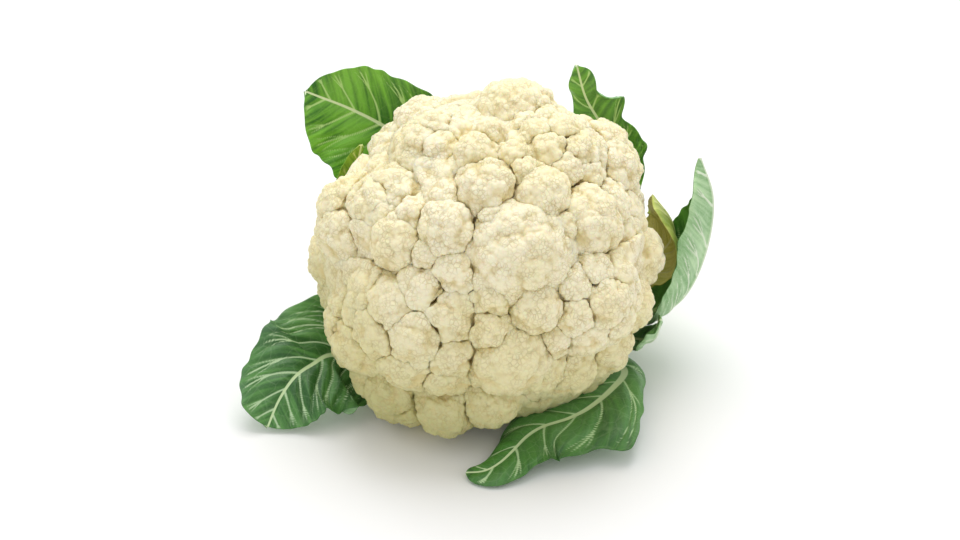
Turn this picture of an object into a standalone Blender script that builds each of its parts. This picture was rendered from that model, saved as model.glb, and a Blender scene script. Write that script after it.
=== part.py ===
"""A cauliflower head with its leaves, standing on its cut stalk.

Frame: metres, +Z up, origin at the centre of the stalk's flat cut, which stands on
the surface. The curd leans towards -Y and a little towards +X.
"""

import math

import bpy
import numpy as np

MM = 0.001

# Driving sizes
CURD_REACH = 86 * MM          # from the curd's centre to the top of an average floret
CORE_SHARE = 0.80             # the solid middle, as a share of CURD_REACH
CURD_CENTRE = np.array([0.0, -16.6, 63.0]) * MM
LEAN_FORWARD = math.radians(15)
LEAN_RIGHT = math.radians(3)
HOLLOW_DEPTH = 23.0 * MM      # from the curd's centre down to the hollow above the stalk
HOLLOW_SLOPE = 0.28           # how far the rim hangs below the hollow, per unit of radius
CURD_DETAIL = 5               # subdivisions of the icosphere that the curd is shaped from

STALK_RADIUS = 20 * MM
STALK_FLARE = 1.12            # top radius over bottom radius
STALK_TOP_GAP = 1.2 * MM

LEAF_CLEARANCE = 2.8 * MM     # between a leaf and the curd
FLOOR_GAP = 0.3 * MM

# The curd: masses, and the florets that each one carries. Rows give the bearing about the
# curd's axis (0 is +X, 90 is the back) and the tilt from the apex in degrees, then the
# radius and how far it stands proud, in millimetres. A mass without a list is one floret.
MASSES = (
    ((-77, 42, 24.5, 3), ()),
    ((-122, 80, 44, 4), (
        (-119, 56, 13, 0), (-101, 64, 14, 0), (-128, 67, 13, 0), (-143, 71, 14, 0),
        (-114, 75, 12, 1), (-131, 81, 14, 0), (-100, 80, 11, 0), (-143, 83, 11, 0),
        (-117, 91, 13, 0), (-103, 94, 11, 0))),
    ((-140, 93, 34, 4.5), (
        (-150, 80, 12, -4), (-136, 93, 13, 1), (-150, 94, 13, -2), (-145, 106, 12, 0))),
    ((-126, 112, 32, 5), (
        (-137, 107, 12, 0), (-126, 117, 13, 0), (-114, 117, 12, 0), (-124, 106, 12, 1),
        (-140, 118, 12, 0))),
    ((-160, 47, 28, 0.5), (
        (-164, 36, 13, -1), (-148, 36, 9, 0), (-176, 47, 13, -4), (-157, 48, 13, 0),
        (-170, 58, 13, 0), (-151, 59, 13, 0), (-146, 47, 8, 0))),
    ((168, 25, 26, 0.5), (
        (150, 12, 9, -1), (138, 22, 10, -3), (160, 22, 9, 0), (-179, 27, 10, 0),
        (-165, 20, 9, 0), (-153, 28, 9, 1), (-168, 34, 11, 0), (168, 37, 12, -2), (150, 34, 12, -3))),
    ((74, 25, 25, 3.5), (
        (76, 18, 12, 0), (56, 27, 11, 0), (95, 27, 11, -1), (76, 35, 12, 0), (114, 20, 9, -4))),
    ((20, 45, 30, 3), ((6, 46, 12, 0), (28, 46, 13, 0), (16, 57, 12, -1), (48, 41, 12, 0))),
    ((12, 23, 32, 2), (
        (52, 11, 9, 0), (44, 22, 10, 0), (20, 10, 8, 0), (18, 21, 9, 0), (-2, 28, 10, 0),
        (-20, 16, 9, 0), (-27, 26, 9, 0), (-14, 36, 10, 0), (12, 37, 12, 0), (34, 34, 12, 0))),
    ((-48, 68, 31, 4.5), (
        (-61, 54, 11, 0), (-46, 52, 11, 0), (-35, 61, 12, 0), (-63, 67, 10, 0),
        (-48, 66, 12, 1), (-57, 79, 11, 0), (-43, 79, 12, 0), (-31, 73, 12, 0))),
    ((-6, 58, 24, -6), ((-20, 58, 12, 0), (-2, 51, 12, 0), (4, 66, 13, 0), (-16, 71, 12, 0))),
    ((-172, 64, 28, 4.5), ((-178, 62, 13, 1), (-161, 67, 13, 0), (-170, 76, 12, -1), (174, 73, 13, 0))),
    ((-118, 38, 13, 2), ()), ((-137, 50, 13, 1.5), ()), ((-137, 40, 8, -1), ()),
    ((-127, 30, 8, -2), ()), ((-108, 50, 11, -4), ()), ((-122, 48, 8, -3), ()),
    ((170, 3, 7, -0.5), ()), ((-132, 11, 9.5, 1), ()), ((-100, 21, 13, 2), ()),
    ((-54, 26, 13.5, 1.5), ()), ((-62, 10, 6.5, -1), ()), ((-60, 17, 7, -1), ()),
    ((-94, 32, 6, -2), ()), ((-35, 42, 17, 1.5), ()), ((-52, 38, 7, -2), ()),
    ((-12, 46, 11, -4), ()), ((-83, 81, 18, 2.5), ()), ((-90, 69, 9, -2), ()),
    ((-89, 58, 9, -4), ()), ((-73, 62, 12, 0), ()), ((-67, 75, 9, -4), ()),
    ((-71, 91, 11, -5), ()), ((-58, 96, 13, -4), ()), ((-41, 95, 14, -3), ()),
    ((-25, 86, 13, -4), ()), ((-104, 108, 14, 5), ()), ((-89, 104, 13, 1), ()),
    ((150, 52, 17, -10), ()), ((167, 52, 13, -11), ()), ((2, 86, 15, -4), ()),
    ((-178, 90, 16, -1), ()), ((-171, 101, 15, -4), ()), ((129, 51, 15, -2), ()),
)
# The back carries even rings: tilt, radius and spacing in degrees.
BACK_RINGS = ((50, 17, 31), (75, 18, 27), (99, 16, 24))
CROWDING = 0.62               # closer than this share of two radii, a back floret is left out
# Where the head is flatter: depth in millimetres, bearing, spread and the tilt it starts at.
FLATS = ((8, 14, 34, 62), (8, -160, 18, 94), (3, 110, 20, 40), (12, 151, 10, 46))
FULLNESS = 1.13               # a floret's dome is this much wider than it stands
CREASE = 2.8                  # between florets of one mass, in millimetres

# Leaves. grows: the bearing round the stalk and the height where the midrib's upper
# side leaves it. path: that line from there to the tip, in millimetres. face: which way
# the upper side looks at the base, middle and tip. left and right: half widths along the
# leaf in millimetres, seen from above with the tip away. fold and curl: how far each half
# turns towards the upper side at the midrib, and on to the margin, in degrees. wave:
# height in millimetres, number of waves and phase.
LEAVES = {
    "leaf_back_left": {
        "grows": (131, 20),
        "path": ((-28, 46, 26), (-36, 68, 50), (-40, 66, 76), (-48, 58, 93), (-66, 53, 107),
                 (-88, 45, 121)),
        "face": ((0, -0.3, 1), (0.3, -1, 0.2), (0.2, -0.9, 0.35)),
        "left": ((0, 8), (0.28, 9), (0.42, 26), (0.55, 33), (0.7, 35), (0.8, 32), (0.88, 27),
                 (0.95, 19), (1, 15)),
        "right": ((0, 8), (0.28, 9), (0.42, 22), (0.55, 27), (0.7, 26), (0.8, 25), (0.88, 21),
                  (0.95, 15), (1, 11)),
        "fold": 6, "curl": (8, 16), "wave": (1.6, 4, 0.4),
    },
    "leaf_inner_left": {
        "grows": (168, 27),
        "path": ((-44, 20, 29), (-62, 33, 43), (-69, 34, 58), (-66, 35, 78), (-62, 35, 97)),
        "face": ((0.3, 0, 1), (0.45, -0.9, 0.2), (0.3, -1, 0)),
        "left": ((0, 6), (0.3, 7), (0.55, 13), (0.75, 14), (0.9, 9), (1, 4)),
        "right": ((0, 6), (0.3, 7), (0.55, 9), (0.75, 10), (0.9, 7), (1, 3)),
        "fold": 14, "curl": (12, 12), "wave": (0.8, 4, 0.1),
    },
    "leaf_front_left": {
        "grows": (-150, 10),
        "path": ((-40, -22, 10), (-60, -28, 15), (-75, -35, 22), (-83, -43, 22), (-91, -51, 20),
                 (-98, -60, 13), (-103, -68, 3.5)),
        "face": ((0, 0, 1), (0.05, -0.6, 0.8), (0, -0.7, 0.7)),
        "left": ((0, 7.5), (0.22, 9), (0.35, 24), (0.5, 32), (0.62, 31), (0.7, 28), (0.75, 22),
                 (0.82, 23), (0.92, 16), (1, 10)),
        "right": ((0, 7.5), (0.22, 9), (0.35, 22), (0.5, 29), (0.62, 29), (0.76, 24), (0.86, 20),
                  (0.94, 15), (1, 10)),
        "fold": 4, "curl": (6, 2), "wave": (1.6, 3, 0.1),
    },
    "leaf_front_right": {
        "grows": (-30, 9),
        "path": ((42, -17, 9), (58, -21, 10), (64, -34, 12), (57, -52, 14), (46, -67.5, 14),
                 (36, -75.3, 13), (24, -79, 11), (16.5, -85, 9.5), (10.5, -93.5, 8), (4, -101, 6),
                 (-3, -104.5, 4), (-11, -104, 3)),
        "face": ((0, 0, 1), (0.1, 0, 1), (0, -0.2, 1)),
        "left": ((0, 7.5), (0.2, 9), (0.31, 9), (0.43, 14), (0.51, 24), (0.58, 32), (0.62, 22),
                 (0.67, 24), (0.75, 21), (0.84, 15), (0.93, 10), (1, 7)),
        "right": ((0, 7.5), (0.2, 9), (0.33, 19), (0.48, 25), (0.64, 22), (0.74, 16), (0.84, 9),
                  (0.93, 7), (1, 5)),
        "fold": 4, "curl": (-14, -34), "wave": (1.4, 3, 0.0),
    },
    "leaf_right_low": {
        "grows": (12, 9),
        "path": ((46, 8, 9), (65, -1, 11), (77, -17, 20), (79, -32, 40)),
        "face": ((0, 0, 1), (-0.5, 0.2, 0.8), (-1, 0.5, 0.2)),
        "left": ((0, 6), (0.3, 6), (0.55, 7.5), (0.75, 8.5), (0.9, 6), (1, 3)),
        "right": ((0, 6), (0.3, 5.5), (0.55, 8), (0.75, 11), (0.9, 7), (1, 3)),
        "fold": 10, "curl": (10, 10), "wave": (0.8, 3, 0.5),
    },
    "leaf_right": {
        "grows": (28, 19),
        "path": ((46, 16, 18), (74, 10, 18), (91, 5, 30), (101, 4, 54), (104, 5, 82), (98, 8, 104)),
        "face": ((-0.2, 0, 1), (-1, 0.1, 0.35), (-1, 0.25, 0.0)),
        "left": ((0, 7.5), (0.25, 8.5), (0.42, 20), (0.6, 31), (0.72, 26), (0.85, 12), (0.95, 5), (1, 2)),
        "right": ((0, 7.5), (0.25, 8.5), (0.42, 24), (0.54, 32), (0.63, 32), (0.7, 28),
                  (0.78, 25), (0.9, 15), (0.96, 7), (1, 2)),
        "fold": 6, "curl": (62, 40), "wave": (0.9, 4, 0.0),
    },
    "leaf_inner_right": {
        "grows": (46, 31),
        "path": ((46, 22, 33), (70, 21, 38), (86, 18, 51), (87, 18, 63), (78, 22, 76)),
        "face": ((-0.3, 0, 1), (-1, -0.1, 0.3), (-0.8, -0.3, -0.5)),
        "left": ((0, 5.5), (0.3, 7), (0.5, 18), (0.75, 24), (0.9, 16), (1, 9)),
        "right": ((0, 5.5), (0.3, 7), (0.5, 20), (0.75, 27), (0.9, 18), (1, 10)),
        "fold": 4, "curl": (22, 22), "wave": (0.8, 4, 0.3),
    },
    "leaf_back_right": {
        "grows": (74, 20),
        "path": ((26, 52, 26), (46, 70, 44), (64, 66, 66), (63, 62, 80), (56, 59, 95),
                 (47, 56, 112), (42, 52, 131)),
        "face": ((0, -0.3, 1), (-0.5, -1, 0.1), (-0.2, -1, 0.2)),
        "left": ((0, 7.5), (0.28, 8.5), (0.42, 18), (0.6, 22), (0.8, 13), (0.88, 7), (0.95, 6), (1, 4)),
        "right": ((0, 7.5), (0.28, 8.5), (0.42, 22), (0.54, 25), (0.62, 15), (0.66, 15), (0.71, 21),
                  (0.76, 20), (0.79, 12), (0.83, 20), (0.87, 19), (0.91, 7), (0.95, 10), (1, 8)),
        "fold": 6, "curl": (10, 24), "wave": (2.5, 6, 0.6),
    },
    "leaf_back": {
        "grows": (101, 9),
        "path": ((-5, 52, 10), (-7, 86, 24), (-8, 101, 48), (-6, 104, 76)),
        "face": ((0, -0.3, 1), (0, -1, 0.4), (0, -1, 0.0)),
        "left": ((0, 8), (0.3, 9), (0.5, 22), (0.7, 26), (0.88, 18), (1, 10)),
        "right": ((0, 8), (0.3, 9), (0.5, 22), (0.7, 26), (0.88, 18), (1, 10)),
        "fold": 8, "curl": (18, 18), "wave": (1.8, 4, 0.9),
    },
}
LEAF_STEPS = (22, 10)         # faces along and across a leaf
LINE_STEPS = 120              # points on a leaf's midrib
FACE_MIDDLE = 0.55            # where along the midrib the middle "face" counts
BLADE_STARTS = (0.22, 0.4)    # the margin's waves grow to full height between these
WAVE_SHARE = 0.5              # the coarse solid follows this much of a margin's waves
WAVES_APART = 1.3             # the two margins' waves lead and trail by this, in radians
TIP_START = 0.92              # a leaf rounds off from here,
TIP_SHARE = 0.22              # to this share of its width
BLADE_THICKNESS = 1.5 * MM
RIB_THICKNESS = 6.0 * MM      # blade and midrib together, at the stalk
PETIOLE_GAP = 0.5 * MM        # between a leaf's foot and the stalk
PETIOLE_START = 9.0 * MM      # a leaf runs straight out from the stalk for this far

COLOURS = {
    "curd": (0.86, 0.79, 0.62, 1),
    "stalk": (0.72, 0.76, 0.52, 1),
    "leaf": (0.12, 0.30, 0.08, 1),
    "leaf_pale": (0.45, 0.60, 0.42, 1),
}


def clear_scene():
    for obj in list(bpy.data.objects):
        bpy.data.objects.remove(obj)


def material(name, colour, roughness):
    made = bpy.data.materials.new(name)
    made.use_nodes = True
    shader = made.node_tree.nodes["Principled BSDF"]
    shader.inputs["Base Color"].default_value = colour
    shader.inputs["Roughness"].default_value = roughness
    shader.inputs["Metallic"].default_value = 0.0
    return made


def unit(vectors):
    vectors = np.asarray(vectors, float)
    return vectors / np.linalg.norm(vectors, axis=-1, keepdims=True)


def head_to_world():
    """The turn that takes the curd's own axes, apex up, to the leaning head."""
    c, s = math.cos(LEAN_FORWARD), math.sin(LEAN_FORWARD)
    forward = np.array([[1, 0, 0], [0, c, -s], [0, s, c]])
    c, s = math.cos(LEAN_RIGHT), math.sin(LEAN_RIGHT)
    sideways = np.array([[c, 0, s], [0, 1, 0], [-s, 0, c]])
    return sideways @ forward


HEAD = head_to_world()


def direction(bearing, tilt):
    b, t = math.radians(bearing), math.radians(tilt)
    return np.array([math.sin(t) * math.cos(b), math.sin(t) * math.sin(b), math.cos(t)])


def smoothstep(x, low, high):
    t = np.clip((x - low) / (high - low), 0, 1)
    return t * t * (3 - 2 * t)


def flatness(bearing, tilt):
    """How far the head's round outline is drawn in, in millimetres."""
    total = 0
    for depth, middle, spread, start in FLATS:
        aside = (bearing - middle + 180) % 360 - 180
        below = smoothstep(tilt, start - 10, start + 10)
        total = total + depth * np.exp(-(aside / spread) ** 2) * below
    return total


def all_florets():
    """Every floret and mass as a ball: its centre in the curd's axes, and its radius."""
    reach = CURD_REACH / MM
    found, masses = [], []
    for (bearing, tilt, size, proud), carried in MASSES:
        mass = direction(bearing, tilt) * (reach + proud - size)
        if carried:
            masses.append((mass * MM, (size - CREASE) * MM))
        else:
            radius = size * FULLNESS
            found.append((direction(bearing, tilt) * (reach + proud - radius) * MM, radius * MM))
        for aside, lean, radius, rise in carried:
            ray = direction(aside, lean)
            along = ray @ mass
            leaves = ray * (along + math.sqrt(max(along**2 - mass @ mass + size**2, 1)))
            radius *= FULLNESS
            found.append(((leaves + unit(leaves - mass) * (rise - radius)) * MM, radius * MM))
    for tilt, radius, step in BACK_RINGS:
        radius *= FULLNESS
        for bearing in np.arange(-180 + step / 2, 180, step):
            centre = direction(bearing, tilt) * (reach - flatness(bearing, tilt) - radius) * MM
            apart = [np.linalg.norm(centre - c) / (radius * MM + r) for c, r in found]
            if min(apart) > CROWDING:
                found.append((centre, radius * MM))
    return found + masses


FLORETS = all_florets()


def curd_reach(rays):
    """How far the curd's surface is from its centre along each ray, in the curd's axes."""
    reach = np.full(len(rays), CURD_REACH * CORE_SHARE)
    for centre, radius in FLORETS:
        along = rays @ centre
        inside = radius**2 - centre @ centre + along**2
        hit = (inside > 0) & (along > 0)
        reach[hit] = np.maximum(reach[hit], along[hit] + np.sqrt(inside[hit]))
    flat = np.hypot(rays[:, 0], rays[:, 1])
    fall = -rays[:, 2] - HOLLOW_SLOPE * flat
    below = fall > 1e-3
    reach[below] = np.minimum(reach[below], HOLLOW_DEPTH / fall[below])
    return reach


def build_curd(surface):
    bpy.ops.mesh.primitive_ico_sphere_add(subdivisions=CURD_DETAIL, radius=1)
    curd = bpy.context.object
    curd.name = "curd"
    points = np.empty(len(curd.data.vertices) * 3)
    curd.data.vertices.foreach_get("co", points)
    rays = unit(points.reshape(-1, 3))
    shaped = (rays * curd_reach(rays)[:, None]) @ HEAD.T + CURD_CENTRE
    shaped[:, 2] = np.maximum(shaped[:, 2], FLOOR_GAP)
    curd.data.vertices.foreach_set("co", shaped.ravel())
    curd.data.shade_smooth()
    curd.data.materials.append(surface)
    return curd


def stalk_axis(height):
    """Where the stalk's middle is at a height: upright in the cut, then leaning."""
    axis = HEAD @ np.array([0.0, 0.0, 1.0])
    depth = HOLLOW_DEPTH + HOLLOW_SLOPE * STALK_RADIUS * STALK_FLARE + STALK_TOP_GAP
    top = CURD_CENTRE - axis * depth
    return top * height / top[2], top


def stalk_radius(height):
    share = height / stalk_axis(0)[1][2]
    return STALK_RADIUS * (1 + (STALK_FLARE - 1) * share)


def build_stalk(surface):
    """A tapered stub, cut flat where it stands and leaning with the head."""
    bpy.ops.mesh.primitive_cylinder_add(vertices=32, radius=1, depth=1)
    stalk = bpy.context.object
    stalk.name = "stalk"
    top = stalk_axis(0)[1]
    for vertex in stalk.data.vertices:
        around = np.array([vertex.co.x, vertex.co.y, 0.0])
        if vertex.co.z > 0:
            vertex.co = top + HEAD @ around * STALK_RADIUS * STALK_FLARE
        else:
            vertex.co = around * STALK_RADIUS
    stalk.data.set_sharp_from_angle(angle=math.radians(40))
    stalk.data.materials.append(surface)
    return stalk


def leaf_foot(leaf):
    """Where a leaf's midrib leaves the stalk, and a point straight out from there."""
    bearing, height = leaf["grows"]
    b = math.radians(bearing)
    outward = np.array([math.cos(b), math.sin(b), 0.0])
    sides = (height * MM, height * MM - RIB_THICKNESS)
    away = max(stalk_axis(z)[0] @ outward + stalk_radius(z) for z in sides) + PETIOLE_GAP
    across = stalk_axis(sides[0])[0]
    across = across - outward * (across @ outward)
    foot = across + outward * away
    foot[2] = sides[0]
    return foot / MM, (foot + outward * PETIOLE_START) / MM


def catmull_rom(points, count):
    """count points at even spacing on a smooth curve through the given ones."""
    p = np.asarray(points, float)
    p = np.vstack([2 * p[0] - p[1], p, 2 * p[-1] - p[-2]])
    fine = []
    for a, b, c, d in zip(p[:-3], p[1:-2], p[2:-1], p[3:]):
        t = np.linspace(0, 1, 24, endpoint=False)[:, None]
        fine.append(0.5 * (2 * b + (c - a) * t + (2 * a - 5 * b + 4 * c - d) * t**2
                           + (3 * b - a - 3 * c + d) * t**3))
    fine = np.vstack(fine + [p[-2:-1]])
    length = np.concatenate([[0], np.cumsum(np.linalg.norm(np.diff(fine, axis=0), axis=1))])
    at = np.linspace(0, length[-1], count)
    return np.stack([np.interp(at, length, fine[:, k]) for k in range(3)], axis=1)


def keep_off_curd(points, clearance):
    offset = (points - CURD_CENTRE) @ HEAD
    far = np.linalg.norm(offset, axis=1)
    least = curd_reach(offset / far[:, None]) + clearance
    scale = np.maximum(1, least / far)
    return (offset * scale[:, None]) @ HEAD.T + CURD_CENTRE


def leaf_surface(leaf, u, v):
    """Points on the leaf's upper side, u from stalk to tip and v from left to right."""
    line = catmull_rom((*leaf_foot(leaf), *leaf["path"]), LINE_STEPS) * MM
    tangent = unit(np.gradient(line, axis=0))
    at = np.linspace(0, 1, LINE_STEPS)
    looks = np.array(leaf["face"], float)
    face = np.stack([np.interp(at, (0, FACE_MIDDLE, 1), looks[:, k]) for k in range(3)], axis=1)
    face = unit(face - (face * tangent).sum(1, keepdims=True) * tangent)
    side = np.cross(tangent, face)

    def sample(values):
        return np.stack([np.interp(u, at, values[:, k]) for k in range(3)], axis=1)

    right = v > 0
    halves = [np.interp(u, *np.array(leaf[key], float).T) for key in ("left", "right")]
    half = np.where(right, halves[1], halves[0]) * MM
    into_tip = ((u - TIP_START) / (1 - TIP_START)).clip(0, 1)
    half *= np.sqrt(np.maximum(1 - into_tip**2, TIP_SHARE**2))
    bend = np.radians(np.where(right, leaf["curl"][1], leaf["curl"][0])) + 1e-3
    start = math.radians(leaf["fold"])
    t = np.abs(v)
    out = half * (np.sin(start + bend * t) - math.sin(start)) / bend * np.sign(v)
    up = half * (math.cos(start) - np.cos(start + bend * t)) / bend
    height, count, phase = leaf["wave"]
    wave = np.sin(2 * math.pi * (count * u + phase) + WAVES_APART * np.sign(v))
    up += WAVE_SHARE * height * MM * smoothstep(u, *BLADE_STARTS) * t**2 * wave
    points = sample(line) + out[:, None] * unit(sample(side)) + up[:, None] * unit(sample(face))
    return keep_off_curd(points, LEAF_CLEARANCE + rib_share(u, v) * RIB_THICKNESS)


def rib_share(u, v):
    """Thickness of the leaf as a share of RIB_THICKNESS: a midrib that tapers away."""
    blade = BLADE_THICKNESS / RIB_THICKNESS
    rib = (1 - blade) * (1 - u) ** 1.2 * np.exp(-((v / (0.25 + 0.6 * (1 - u) ** 3)) ** 2))
    return blade + rib


def build_leaf(name, leaf, surface):
    along, across = LEAF_STEPS
    bpy.ops.mesh.primitive_grid_add(x_subdivisions=across, y_subdivisions=along, size=2)
    obj = bpy.context.object
    obj.name = name
    points = np.empty(len(obj.data.vertices) * 3)
    obj.data.vertices.foreach_get("co", points)
    v, u = points.reshape(-1, 3)[:, 0], (points.reshape(-1, 3)[:, 1] + 1) / 2
    share = rib_share(u, v)
    shaped = leaf_surface(leaf, u, v)
    lowest = share * RIB_THICKNESS + FLOOR_GAP
    shaped[:, 2] = np.maximum(shaped[:, 2], lowest)
    obj.data.vertices.foreach_set("co", shaped.ravel())
    group = obj.vertex_groups.new(name="thickness")
    for index, weight in enumerate(share):
        group.add([index], float(weight), "REPLACE")
    solidify = obj.modifiers.new("Solidify", "SOLIDIFY")
    solidify.thickness = RIB_THICKNESS
    solidify.offset = -1
    solidify.vertex_group = group.name
    obj.data.shade_smooth()
    obj.data.materials.append(surface)
    return obj


def main():
    clear_scene()
    curd_surface = material("Curd", COLOURS["curd"], 0.7)
    stalk_surface = material("Stalk", COLOURS["stalk"], 0.6)
    leaf_green = material("Leaf green", COLOURS["leaf"], 0.55)
    leaf_pale = material("Leaf pale", COLOURS["leaf_pale"], 0.55)
    built = [build_curd(curd_surface), build_stalk(stalk_surface)]
    for name, leaf in LEAVES.items():
        surface = leaf_pale if "inner" in name or name == "leaf_right" else leaf_green
        built.append(build_leaf(name, leaf, surface))
    collection = bpy.data.collections.new("cauliflower")
    bpy.context.scene.collection.children.link(collection)
    for obj in built:
        for owner in list(obj.users_collection):
            owner.objects.unlink(obj)
        collection.objects.link(obj)


main()
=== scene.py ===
import math

import bmesh
import bpy
import numpy as np
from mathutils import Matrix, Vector


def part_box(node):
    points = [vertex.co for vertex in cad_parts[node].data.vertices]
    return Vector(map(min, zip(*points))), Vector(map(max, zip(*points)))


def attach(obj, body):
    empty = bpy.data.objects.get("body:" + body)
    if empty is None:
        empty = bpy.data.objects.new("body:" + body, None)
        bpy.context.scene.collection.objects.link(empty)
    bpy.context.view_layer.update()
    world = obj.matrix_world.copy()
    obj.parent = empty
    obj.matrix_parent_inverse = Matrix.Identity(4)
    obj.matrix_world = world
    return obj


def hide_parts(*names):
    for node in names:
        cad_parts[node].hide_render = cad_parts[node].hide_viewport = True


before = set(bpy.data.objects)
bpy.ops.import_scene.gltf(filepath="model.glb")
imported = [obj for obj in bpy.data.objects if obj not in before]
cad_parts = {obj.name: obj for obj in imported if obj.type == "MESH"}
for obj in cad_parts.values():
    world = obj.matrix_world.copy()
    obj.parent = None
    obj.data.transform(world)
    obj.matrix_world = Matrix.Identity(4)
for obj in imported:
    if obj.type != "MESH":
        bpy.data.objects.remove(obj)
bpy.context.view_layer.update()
mm = 0.001


# A socket that sums and products can be written with, and that adds nodes to its tree.
class Wire:
    def __init__(self, tree, socket=None):
        self.tree, self.socket = tree, socket

    def node(self, kind, settings=None, values=None, out=0):
        made = self.tree.nodes.new(kind)
        for name, value in (settings or {}).items():
            setattr(made, name, value)
        for key, value in (values or {}).items():
            if isinstance(value, Wire):
                self.tree.links.new(value.socket, made.inputs[key])
            else:
                made.inputs[key].default_value = value
        return Wire(self.tree, made.outputs[out])

    def out(self, key):
        return Wire(self.tree, self.socket.node.outputs[key])

    def math(self, operation, a, b=0.0, clamp=False):
        settings = {"operation": operation, "use_clamp": clamp}
        return self.node("ShaderNodeMath", settings, {0: a, 1: b})

    def __add__(self, other):
        return self.math("ADD", self, other)

    def __sub__(self, other):
        return self.math("SUBTRACT", self, other)

    def __rsub__(self, other):
        return self.math("SUBTRACT", other, self)

    def __mul__(self, other):
        return self.math("MULTIPLY", self, other)

    def __truediv__(self, other):
        return self.math("DIVIDE", self, other)

    def __rtruediv__(self, other):
        return self.math("DIVIDE", other, self)

    __radd__, __rmul__ = __add__, __mul__

    def clamped(self):
        return self.math("ADD", self, 0.0, clamp=True)

    def steps(self, low, high):
        # 0 below low, 1 above high, smooth between
        values = {"Value": self, "From Min": low, "From Max": high}
        return self.node("ShaderNodeMapRange", {"interpolation_type": "SMOOTHSTEP"}, values)

    def blend(self, under, over):
        # this wire picks between two colours
        return self.node("ShaderNodeMix", {"data_type": "RGBA"}, {0: self, 6: under, 7: over}, out=2)


def rgb(red, green, blue):
    # a colour named by its screen values, as the linear values that shaders take
    def linear(c):
        c /= 255
        return c / 12.92 if c <= 0.04045 else ((c + 0.055) / 1.055) ** 2.4
    return (linear(red), linear(green), linear(blue), 1)


def unit(vectors):
    vectors = np.asarray(vectors, float)
    return vectors / np.linalg.norm(vectors, axis=-1, keepdims=True)


def smoothstep(x, low, high):
    t = np.clip((x - low) / (high - low), 0, 1)
    return t * t * (3 - 2 * t)


def setAttribute(mesh, name, values, kind="FLOAT"):
    layer = mesh.attributes.new(name, kind, "POINT")
    field = "value" if kind == "FLOAT" else "vector"
    layer.data.foreach_set(field, np.asarray(values, np.float32).ravel())


def getPoints(mesh):
    co = np.empty(len(mesh.vertices) * 3)
    mesh.vertices.foreach_get("co", co)
    return co.reshape(-1, 3)


def setPoints(mesh, points):
    mesh.vertices.foreach_set("co", np.asarray(points, np.float32).ravel())
    mesh.update()


def newPiece(name, mesh, materials, nodeName):
    piece = bpy.data.objects.new(name, mesh)
    bpy.context.scene.collection.objects.link(piece)
    for number, made in enumerate(materials):
        if number < len(mesh.materials):
            mesh.materials[number] = made
        else:
            mesh.materials.append(made)
    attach(piece, "root")
    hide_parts(nodeName)
    return piece


# The head's own axes have the apex at +Z; it leans towards -Y and a little to +X, in degrees.
# Lengths are in mm.
head = {"reach": 86, "leanForward": 15, "leanRight": 3, "hollowDepth": 23, "hollowSlope": 0.28,
        "fromCorner": (82.0, 83.1, 87.2)}     # mm back from the curd's high corner to its centre


def headPlace():
    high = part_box("curd")[1]
    centre = np.array(high) - np.array(head["fromCorner"]) * mm
    c, s = math.cos(math.radians(head["leanForward"])), math.sin(math.radians(head["leanForward"]))
    forward = np.array([[1, 0, 0], [0, c, -s], [0, s, c]])
    c, s = math.cos(math.radians(head["leanRight"])), math.sin(math.radians(head["leanRight"]))
    return centre, np.array([[c, 0, s], [0, 1, 0], [-s, 0, c]]) @ forward


headCentre, headTurn = headPlace()


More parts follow.
